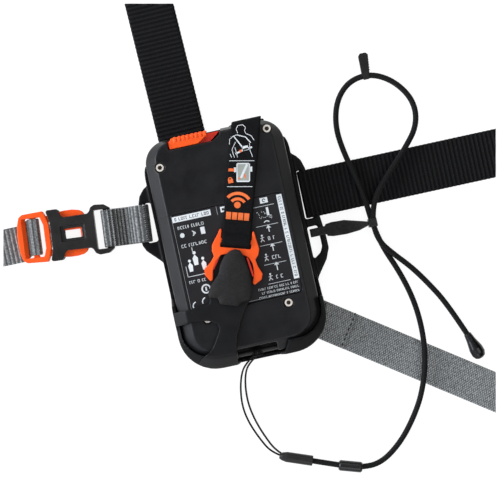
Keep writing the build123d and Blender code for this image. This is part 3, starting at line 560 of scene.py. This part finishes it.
def build_flap():
    """One webbing from the holder's end wall over the case and round the hook frame's bar."""
    place = placed(FLAP_END, FLAP_ANGLE)
    corner = (place.inverted() @ Vector((19.4, 61.4, 0.0))).x
    path = [(corner, 3.2), (corner, 28.5), (corner + 0.9, 30.9), (-60.5, 30.95), (-1.5, 30.95),
            (-1.35, 34.05), (-4.6, 34.05), (-7.6, 32.3), (-14.0, 32.3)]
    line = relaxed(path, 0.4, 8)
    strap = ribbon("flap_webbing", line, 15.0, 1.25, place, "flap", None)
    # the strap leans over the case, but its top fold is square with the end of the case
    inverse = place.inverted()
    lean = math.tan(math.radians(FLAP_ANGLE + 90.0))
    for vertex in strap.data.vertices:
        own = inverse @ (vertex.co / MM)
        share = min(1.0, max(0.0, (-30.0 - own.x) / 30.0))
        own.x += lean * own.y * share
        vertex.co = (place @ own) * MM
    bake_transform(strap)
    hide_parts("flap_root", "flap_strap")
    frame_piece = soft_node("flap_buckle", 0.25, 6, "flap", "hook_frame")
    # darker red strips along the inner edges of the hook frame's arms, beside the tongue: painted shade
    ribs = [((-9.6, -5.0), (-13.6, -10.4)), ((4.9, -8.2), (5.9, -18.2))]
    prisms("hook_frame_edge_painted_shade", [(stroke(a, b, 0.9), 30.7, 32.4) for a, b in ribs], "track", "flap")
    build_flap_print()


def build_flap_print():
    low = FLAP_PRINT_Z
    high = FLAP_PRINT_Z + 0.14
    white = []
    # a walker's back with the harness on it
    head = [(13.7, 55.4), (13.4, 57.6), (14.6, 59.2), (17.2, 59.0), (18.3, 57.4), (17.4, 55.8), (17.8, 54.2)]
    white += strokes(head, 0.32)
    white += strokes([(8.3, 50.6), (9.0, 53.2), (11.2, 54.4), (13.7, 54.7)], 0.32)
    white += strokes([(17.8, 54.2), (20.2, 52.6), (21.2, 50.0)], 0.32)
    white += strokes([(11.4, 54.2), (14.6, 47.6)], 0.6)
    white += strokes([(13.0, 54.6), (17.2, 52.6), (19.2, 49.2)], 0.5)
    white += strokes([(7.6, 45.8), (8.0, 43.8)], 0.3)
    white += strokes([(11.6, 51.2), (9.0, 47.6), (9.4, 43.4)], 0.3)
    white += strokes([(10.8, 48.6), (11.0, 43.2)], 0.3)
    white += strokes([(18.6, 49.2), (18.0, 45.6), (18.6, 41.8)], 0.3)
    white += strokes([(10.4, 45.2), (15.0, 46.4), (19.4, 46.8)], 0.9)
    white.append(bar(14.4, 45.8, 17.4, 48.2))
    white += strokes([(6.4, 42.4), (19.0, 39.7)], 0.3)
    white += strokes([(2.6, 29.6), (15.2, 26.9)], 0.3)
    # the transceiver in its holder
    turn = Matrix.Rotation(math.radians(-12), 2)

    def tilted(points, centre=(12.2, 35.0)):
        return [tuple(Vector(centre) + turn @ Vector(p)) for p in points]

    white.append(tilted([(-3.3, -4.9), (2.9, -4.9), (3.5, -4.3), (3.5, 4.3), (2.9, 4.9), (-2.9, 4.9),
                         (-3.5, 4.3), (-3.5, -4.3)]))
    white += [tilted(bar(3.3, 0.4, 4.6, 3.0)), tilted(bar(-4.8, 0.2, -3.3, 2.6))]
    printed("flap_white_print", white, "white", "flap", low, high)
    printed("flap_device_print", [tilted(bar(-2.9, -4.2, 2.9, 4.3))], "pale", "flap", low, high + 0.02)
    printed("flap_device_strap_print", [tilted(stroke((-1.2, -2.8), (2.0, 4.2), 1.2))], "white", "flap", low,
            high + 0.04)
    orange = [tilted(bar(-7.6, 0.6, -4.6, 2.1)), tilted(stroke((-2.4, -3.4), (0.4, -0.6), 0.7)),
              tilted(stroke((0.4, -0.6), (1.2, -3.0), 0.7)), disc(13.2, 46.1, 0.7, 12)]
    orange += [bar(3.6, 31.0, 6.2, 33.0), bow_shape(4.9, 33.0, 0.6, 1.1, 0, 180, 8)]
    for inner, outer in ((3.5, 5.0), (6.3, 7.9)):
        orange.append(bow_shape(5.6, 18.2, inner, outer, 22, 124))
    orange.append(disc(5.7, 19.3, 1.7, 28))
    # a row of plain blocks across the strap
    tip = Matrix.Rotation(math.radians(FLAP_ANGLE + 90.0), 2)
    for i in range(4):
        block = bar(-6.0 + 3.1 * i, -1.9, -3.4 + 3.1 * i, 1.9)
        orange.append([tuple(Vector((4.6, 13.6)) + tip @ Vector(p)) for p in block])
    printed("flap_orange_print", orange, "ember", "flap", low, high + 0.03)


# --------------------------------------------------------------------- tongue
RIM_HALF_WIDTH = 39.0
RIM_END = -61.5
RIM_CORNER = 19.4
RIM_SLOPE = 0.95          # how steeply the tongue climbs from the rim's edge
TONGUE_EDGE_Z = 24.5      # its underside at the rim's edge
TONGUE_Z = 30.4           # its underside over the case
CAP_Z = 32.7

TONGUE_OUTLINE = [
    (-0.3, -2.6), (2.0, -3.8), (3.3, -7.0), (4.2, -13.5), (4.2, -20.0), (3.6, -25.0), (1.7, -29.5),
    (-1.6, -34.0), (-5.3, -40.0), (-8.3, -46.0), (-9.9, -52.0), (-11.0, -57.5), (-11.4, -61.3),
    (-20.5, -61.4), (-25.5, -60.5), (-29.5, -58.7), (-31.6, -57.1), (-29.6, -54.8), (-27.2, -53.2),
    (-24.6, -51.9), (-22.6, -50.2), (-20.3, -47.0), (-16.9, -41.2), (-17.3, -38.5),
    (-21.3, -35.8), (-29.3, -34.6), (-38.9, -35.6), (-38.9, -28.3), (-19.5, -27.6), (-18.6, -25.8),
    (-18.6, -21.8), (-16.6, -18.4), (-11.4, -13.4), (-9.3, -8.6), (-6.4, -4.8), (-3.2, -2.9)]
CAP_OUTLINE = TONGUE_OUTLINE[:7] + [
    (-2.3, -30.0), (-5.3, -31.5), (-13.8, -28.6), (-14.2, -25.4), (-18.6, -24.2)] + TONGUE_OUTLINE[30:]


def inside_rim(x, y):
    """How far a point lies inside the outline of the holder's lower end."""
    dx = abs(x) - RIM_HALF_WIDTH + RIM_CORNER
    dy = RIM_CORNER + RIM_END - y
    return RIM_CORNER - math.hypot(max(dx, 0.0), max(dy, 0.0)) - min(max(dx, dy), 0.0)


def soft_lower(a, b, ease):
    """The lower of two heights, with a rounded change from one to the other."""
    return min(a, b) - ease * math.log1p(math.exp(-abs(a - b) / ease))


def tongue_shape(x, y, z):
    """The flat tongue bent down over the case's edges, and thinner where it runs into the rim."""
    inside = inside_rim(x, y)
    low = soft_lower(TONGUE_EDGE_Z + RIM_SLOPE * inside, TONGUE_Z + 0.05, 0.4)
    thin = 1.0 - 0.55 * min(1.0, max(0.0, 1.0 - inside / 7.0))
    return x, y, low + (z - TONGUE_Z) * thin


def edge_distance(x, y, outline):
    """How far a point is from the nearest edge of an outline."""
    best = math.inf
    for (ax, ay), (bx, by) in zip(outline, outline[1:] + outline[:1]):
        dx = bx - ax
        dy = by - ay
        t = max(0.0, min(1.0, ((x - ax) * dx + (y - ay) * dy) / (dx * dx + dy * dy)))
        best = min(best, math.hypot(x - ax - dx * t, y - ay - dy * t))
    return best


def cap_shape(x, y, z):
    """The grip cap's crowned top, with a low ridge along it."""
    depth = edge_distance(x, y, CAP_OUTLINE)
    crown = 1.0 - math.exp(-depth / 2.2)
    ridge = 0.5 * math.exp(-((x + 7.0 + (y + 16.0) * 0.1) / 5.0) ** 2) * min(1.0, depth / 5.0)
    if z > 34.8:
        return x, y, 33.9 + (z - 33.9) * (0.45 + 0.55 * crown) + ridge
    return x, y, z


def build_tongue():
    rubber = soft_plates("tongue_rubber", [(TONGUE_OUTLINE, TONGUE_Z, 32.6)], 0.4, 5, "rubber", None,
                         "tongue", "tongue_roots", shape=tongue_shape)
    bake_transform(rubber)
    soft_plates("tongue_grip_cap", [(CAP_OUTLINE, CAP_Z, 36.2)], 0.35, 5, "cap", "tongue", "tongue_cap",
                shape=cap_shape)


# --------------------------------------------------------------------- straps
BUCKLE = placed((-45.2, 21.0), 175.2)
RIB = (2.3, 0.42)         # pitch and height of an elastic strap's cross ribs
ELASTIC_WIDTH = 25.2
WEBBING_WIDTH = 20.0
WEBBING_THICKNESS = 1.2
# the turned rectangle on whose sides every strap ends
END_TURN = -12.3
END_LEFT = 123.1
END_RIGHT = 138.7
END_TOP = 128.0


def stitches(name, place, spots, z):
    """Short raised threads, each from one point to another of a strap's own frame."""
    plates = []
    for a, b in spots:
        outline = [tuple((place @ Vector((*p, 0.0))).xy) for p in stroke(a, b, 0.7)]
        plates.append((outline, z - 0.35, z + 0.12))
    prisms(name, plates, "gasket", "carrier")


def cut_off(strap):
    """Cut a strap off on the turned rectangle where all the straps end, and close its end."""
    turn = Matrix.Rotation(math.radians(END_TURN), 3, "Z")
    bm = bmesh.new()
    bm.from_mesh(strap.data)
    for x, y, reach in ((-1, 0, END_LEFT), (1, 0, END_RIGHT), (0, 1, END_TOP)):
        side = turn @ Vector((x, y, 0.0))
        everything = bm.verts[:] + bm.edges[:] + bm.faces[:]
        bmesh.ops.bisect_plane(bm, geom=everything, plane_co=side * reach * MM, plane_no=side,
                               clear_outer=True)
    bmesh.ops.holes_fill(bm, edges=[edge for edge in bm.edges if edge.is_boundary])
    bm.to_mesh(strap.data)
    bm.free()


def build_shoulder_strap():
    path = [(-16.4, 0.94), (2.0, 0.94), (85.0, 0.94)]
    strap = ribbon("shoulder_elastic", relaxed(path, 0.26, 0), ELASTIC_WIDTH, 0.9,
                   placed((-15.4, 59.0), 91.6), "elastic", "carrier", rib=RIB)
    cut_off(strap)
    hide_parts("shoulder_strap")


def build_chest_strap():
    """Out of the right lug, where its end is folded back over the lug's bar."""
    path = [(22.0, 0.94), (-2.6, 0.94), (-4.0, 1.9), (-4.0, 4.7), (-2.6, 5.8), (4.4, 5.8), (9.6, 3.0),
            (24.6, 2.7), (31.0, 0.96), (110.4, 0.96)]
    strap = ribbon("chest_elastic", relaxed(path, 0.26, 10), ELASTIC_WIDTH, 0.85,
                   placed((44.75, 17.9), 0.0), "elastic", "carrier", rib=RIB)
    cut_off(strap)
    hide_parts("chest_strap")


def build_waist_strap():
    place = placed((36.5, -49.0), -35.0)
    strap = ribbon("waist_webbing", relaxed([(-15.4, 0.78), (110.0, 0.78)], 0.5, 0), WEBBING_WIDTH,
                   WEBBING_THICKNESS, place, "dark_grey", "carrier")
    cut_off(strap)
    fold = ribbon("waist_webbing_fold", relaxed([(-1.0, 2.1), (16.6, 2.1)], 0.4, 0), WEBBING_WIDTH,
                  WEBBING_THICKNESS, place, "dark_grey", "carrier")
    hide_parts("waist_strap")
    dashes = [((15.2, -8.6 + 2.9 * i), (15.2, -7.2 + 2.9 * i)) for i in range(7)]
    stitches("waist_stitches", place, dashes, 2.8)


def build_buckle_loop():
    """A closed loop through the left lug and the female buckle, pinched together between them."""
    path = [(8.6, 0.85), (-2.6, 0.85), (-3.2, 1.6), (-3.2, 5.1), (-2.6, 5.8), (3.4, 5.8), (7.0, 2.35),
            (11.9, 2.35), (15.4, 5.8), (20.6, 5.8), (21.2, 5.1), (21.2, 1.6), (20.6, 0.85), (9.6, 0.85)]
    loop = ribbon("buckle_loop_webbing", relaxed(path, 0.3, 5), WEBBING_WIDTH, WEBBING_THICKNESS, BUCKLE,
                  "grey", "carrier")
    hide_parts("buckle_strap")
    build_loop_threads()


def build_adjuster_strap():
    """Round the bar of the male buckle's ladder frame, with both ends leaving to the left."""
    path = [(23.0, 0.78), (2.6, 0.78), (-2.4, 1.2), (-2.7, 5.0), (-1.6, 6.1), (1.6, 6.1), (2.6, 5.2),
            (2.9, 2.9), (4.0, 2.25), (23.0, 2.2)]
    strap = ribbon("adjuster_webbing", relaxed(path, 0.35, 5), 19.3, 1.15, Matrix.Identity(4), "grey", None)
    for vertex in strap.data.vertices:
        vertex.co = adjuster_place(*(vertex.co / MM)) * MM
    cut_off(strap)
    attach(strap, "side_release_male")
    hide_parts("adjuster_strap")


BAR_U = 58.0              # the ladder frame's bar along the buckle
SQUARE_REACH = 3.0        # how far past the bar the webbing stays square to it


def adjuster_place(u, v, z):
    """Square to the frame where it wraps the bar, then shifted and turned a little as it leaves."""
    share = min(1.0, max(0.0, (u - SQUARE_REACH) / 4.0))
    turn = math.radians(4.7) * share
    reach = max(0.0, u - SQUARE_REACH)
    own = Vector((BAR_U + min(u, SQUARE_REACH) + reach * math.cos(turn) - v * math.sin(turn),
                  -0.4 + 2.3 * share + reach * math.sin(turn) + v * math.cos(turn), z))
    return BUCKLE @ own


def build_loop_threads():
    """The dark bar tacks that cross the grey loop."""
    plates = []
    for u in (-2.7, -1.4, 9.6, 11.5, 13.4, 15.3, 17.2):
        z = tack_height(u)
        for i in range(17):
            v = -9.3 + i * 1.12
            thread = [(u - 0.5, v), (u + 0.5, v + 0.25), (u + 0.5, v + 0.95), (u - 0.5, v + 0.7)]
            plates.append(([tuple((BUCKLE @ Vector((*p, 0.0))).xy) for p in thread], z - 0.7, z + 0.14))
    prisms("loop_bar_tacks", plates, "gasket", "carrier")


def tack_height(u):
    """The top of the grey loop's upper layer, along the buckle."""
    if u < 3.4:
        return 6.4
    if u < 7.0:
        return 6.4 - (u - 3.4) * 0.95
    return min(6.4, max(2.95, 3.2 + (u - 11.9) * 0.98))


def build_buckle():
    soft_node("buckle_female", 0.28, 5, "carrier")
    soft_node("buckle_male", 0.28, 5, "side_release_male")
    plates = []
    for shape in scribble(0, 0, 11.5, 1.3):
        outline = [tuple((BUCKLE @ Vector((45.4 + b, 6.0 - a, 0.0))).xy) for a, b in shape]
        plates.append((outline, 7.75, 7.98))
    prisms("buckle_raised_marks", plates, "clip", "carrier")


# ---------------------------------------------------------------------- leash
LEASH_ROUTE = [
    (15.2, -121.0, 2.7), (27.0, -125.6, 2.8), (39.0, -130.0, 2.7), (51.0, -130.4, 1.6),
    (63.5, -121.8, 1.6), (73.6, -109.6, 1.8), (80.4, -97.2, 5.6), (85.6, -81.0, 6.6),
    (87.4, -65.0, 5.4), (86.6, -49.0, 1.7), (82.4, -33.0, 1.6), (76.2, -17.6, 1.6),
    (73.4, -3.0, 1.8), (72.4, 8.6, 6.2), (69.8, 22.0, 6.6), (66.6, 36.0, 3.4),
    (65.4, 50.0, 1.6), (69.2, 63.6, 1.6), (78.2, 72.2, 1.6), (90.6, 73.2, 1.6),
    (102.0, 66.0, 1.6), (109.2, 54.0, 1.6), (107.8, 41.0, 2.6), (98.0, 29.6, 6.2),
    (86.4, 18.4, 6.8), (77.2, 8.2, 7.0), (73.6, -4.0, 5.4), (74.8, -14.6, 4.9),
    (80.6, -22.4, 4.3), (88.6, -31.2, 1.7), (95.6, -41.4, 1.6), (103.6, -55.2, 1.6),
    (110.6, -73.6, 2.6)]
STRANDS = {
    "loop_strand_left": [
        (-2.8, -58.9, 20.2), (-7.4, -62.2, 15.6), (-10.8, -66.8, 5.6), (-13.4, -74.6, 0.7),
        (-14.7, -84.6, 0.7), (-13.2, -94.0, 0.7), (-9.4, -103.6, 0.7), (-4.8, -112.2, 1.1),
        (0.2, -115.0, 2.4)],
    "loop_strand_right": [
        (-0.8, -58.9, 20.6), (-5.8, -62.4, 16.2), (-9.0, -67.4, 5.8), (-10.9, -75.4, 0.7),
        (-11.3, -84.8, 0.7), (-9.4, -94.6, 0.7), (-6.0, -104.0, 0.7), (-2.4, -111.4, 1.3),
        (1.2, -114.6, 3.0)]}


def route_line(points, fineness):
    """Points of the smooth line that Blender's own open spline makes of a route."""
    curve = bpy.data.curves.new("route", "CURVE")
    curve.dimensions = "3D"
    spline = curve.splines.new("NURBS")
    spline.points.add(len(points) - 1)
    for spot, (x, y, z) in zip(spline.points, points):
        spot.co = (x * MM, y * MM, z * MM, 1.0)
    spline.order_u = 3
    spline.use_endpoint_u = True
    spline.resolution_u = fineness
    work = bpy.data.objects.new("route", curve)
    bpy.context.scene.collection.objects.link(work)
    mesh = evaluated_mesh(work)
    line = [v.co / MM for v in mesh.vertices]
    bpy.data.objects.remove(work)
    return line


def tube(name, line, radius, sides, look, body, pitch=0.0, turns=0, relief=0.0):
    """A round tube along a line, with the low relief of a braid."""
    vertices = []
    lay = []
    last = len(line) - 1
    run = (line[1] - line[0]).normalized()
    side = run.orthogonal().normalized()
    along = 0.0
    for i, spot in enumerate(line):
        before = line[max(i - 1, 0)]
        after = line[min(i + 1, last)]
        along += (spot - before).length
        run = (after - before).normalized()
        side = (side - run * side.dot(run)).normalized()
        other = run.cross(side)
        for j in range(sides):
            a = TAU * j / sides
            swell = 0.0
            if relief:
                turn = TAU * along / pitch
                swell = relief * math.sin(turn + turns * a) * math.sin(turn - turns * a)
            reach = radius + swell
            vertices.append(spot + side * (reach * math.cos(a)) + other * (reach * math.sin(a)))
            lay.append((along, radius * a, 0.0))
    faces = []
    for i in range(last):
        for j in range(sides):
            k = (j + 1) % sides
            faces.append((i * sides + j, i * sides + k, (i + 1) * sides + k, (i + 1) * sides + j))
    faces.append(tuple(range(sides)))
    faces.append(tuple(range(last * sides, (last + 1) * sides)))
    return piece(name, vertices, faces, look, body, lay)


def build_leash():
    barrel = soft_node("leash_barrel", 0.2, 4, "carrier")
    bead = soft_node("leash_bead", 0.2, 4, "carrier")
    end = soft_node("cord_end", 0.22, 4, "carrier")
    collar = soft_node("cord_collar", 0.22, 6, "carrier")
    clip = soft_node("leash_clip", 0.25, 7, "carrier")
    tab = soft_node("pull_tab", 0.2, 4, "carrier")
    line = route_line(LEASH_ROUTE, 34)
    cord = tube("leash_elastic", line, 1.5, 20, "cord", "carrier", pitch=3.4, turns=5, relief=0.05)
    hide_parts("leash_cord")
    for name, route in STRANDS.items():
        strand_line = route_line(route, 20)
        strand = tube(name + "_cord", strand_line, 0.5, 12, "thin", "carrier", pitch=1.6, turns=3,
                      relief=0.02)
        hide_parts(name)
    build_hitch()
    ribs = [(stroke((85.3 + 0.12 * i, 75.4 + 1.35 * i), (89.6 + 0.12 * i, 75.4 + 1.35 * i), 0.5), 2.9, 3.45)
            for i in range(7)]
    prisms("pull_tab_ribs", ribs, "cap", "carrier")


def build_hitch():
    """The thin cord's turns round the lanyard pin, and the bight that holds them."""
    turns = []
    for k, x in enumerate((-2.6, -1.4, 0.2, 1.4)):
        ring = [Vector((x + 0.12 * math.sin(a + k), -56.8 + 1.75 * math.cos(a), 21.0 + 1.75 * math.sin(a)))
                for a in [TAU * i / 28 for i in range(29)]]
        turns.append(ring)
    bight = relaxed([(-2.9, -58.7, 20.0), (-2.9, -58.9, 22.4), (-0.6, -59.0, 23.2), (1.8, -58.8, 22.4),
                     (1.8, -58.6, 19.8)], 0.4, 6)
    first = tube("loop_hitch_turns", turns[0], 0.5, 10, "thin", "carrier")
    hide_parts("loop_hitch")
    for k, ring in enumerate(turns[1:]):
        tube("loop_hitch_turn_%d" % (k + 2), ring, 0.5, 10, "thin", "carrier")
    tube("loop_hitch_bight", bight, 0.5, 10, "thin", "carrier")


# ---------------------------------------------------------------------- stage
def light(name, position, size, watts, color=(1.0, 1.0, 1.0)):
    data = bpy.data.lights.new(name, "AREA")
    data.size = size
    data.energy = watts
    data.color = color
    made = bpy.data.objects.new(name, data)
    made.location = position
    made.rotation_euler = (-Vector(position)).to_track_quat("-Z", "Y").to_euler()
    bpy.context.scene.collection.objects.link(made)


def build_stage():
    g = Graph("studio floor")
    cloud = g.noise(6, 2)
    g.finish(g.mix(g.remap(cloud, 0, 1), (0.2, 0.2, 0.2, 1.0), (0.22, 0.22, 0.22, 1.0)), 0.9,
             Specular_IOR_Level=0.0)
    g.shader.inputs["Emission Color"].default_value = (1.0, 1.0, 1.0, 1.0)
    g.shader.inputs["Emission Strength"].default_value = 0.9
    LOOKS["floor"] = g.material
    floor = prisms("floor", [(bar(-3000, -3000, 3000, 3000), -4.0, -0.02)], "floor", None)
    light("left softbox", (-0.85, 0.25, 0.38), 0.6, 9.0, (0.9, 0.94, 1.0))
    light("right softbox", (0.45, -0.1, 0.9), 0.6, 2.2)
    light("top softbox", (0.1, 0.8, 0.75), 0.7, 3.0)
    light("near softbox", (-0.1, -0.8, 0.75), 0.7, 3.0)
    build_sky()


def build_sky():
    """Bright and bluish low on the left, dim on the right and overhead."""
    world = bpy.data.worlds.new("studio")
    bpy.context.scene.world = world
    world.use_nodes = True
    nodes = world.node_tree.nodes
    links = world.node_tree.links
    way = nodes.new("ShaderNodeTexCoord").outputs["Generated"]
    apart = nodes.new("ShaderNodeSeparateXYZ")
    links.new(way, apart.inputs[0])
    ramp = nodes.new("ShaderNodeMapRange")
    ramp.interpolation_type = "SMOOTHSTEP"
    for key, value in (("From Min", 0.2), ("From Max", -0.8), ("To Min", 0.02), ("To Max", 1.0)):
        ramp.inputs[key].default_value = value
    links.new(apart.outputs[0], ramp.inputs["Value"])
    background = nodes["Background"]
    background.inputs[0].default_value = (0.82, 0.87, 1.0, 1.0)
    links.new(ramp.outputs[0], background.inputs[1])


def build_camera():
    data = bpy.data.cameras.new("camera")
    data.lens = 121.6
    data.sensor_width = 36.0
    camera = bpy.data.objects.new("camera", data)
    camera.location = (0.0071, -0.0047, 0.900)
    camera.rotation_euler = (0.0, 0.0, math.radians(-12.3))
    bpy.context.scene.collection.objects.link(camera)
    bpy.context.scene.camera = camera
    bpy.context.scene.view_settings.view_transform = "Standard"


build_case()
build_flap()
build_tongue()
build_shoulder_strap()
build_chest_strap()
build_waist_strap()
build_buckle_loop()
build_adjuster_strap()
build_buckle()
build_leash()
build_stage()
build_camera()
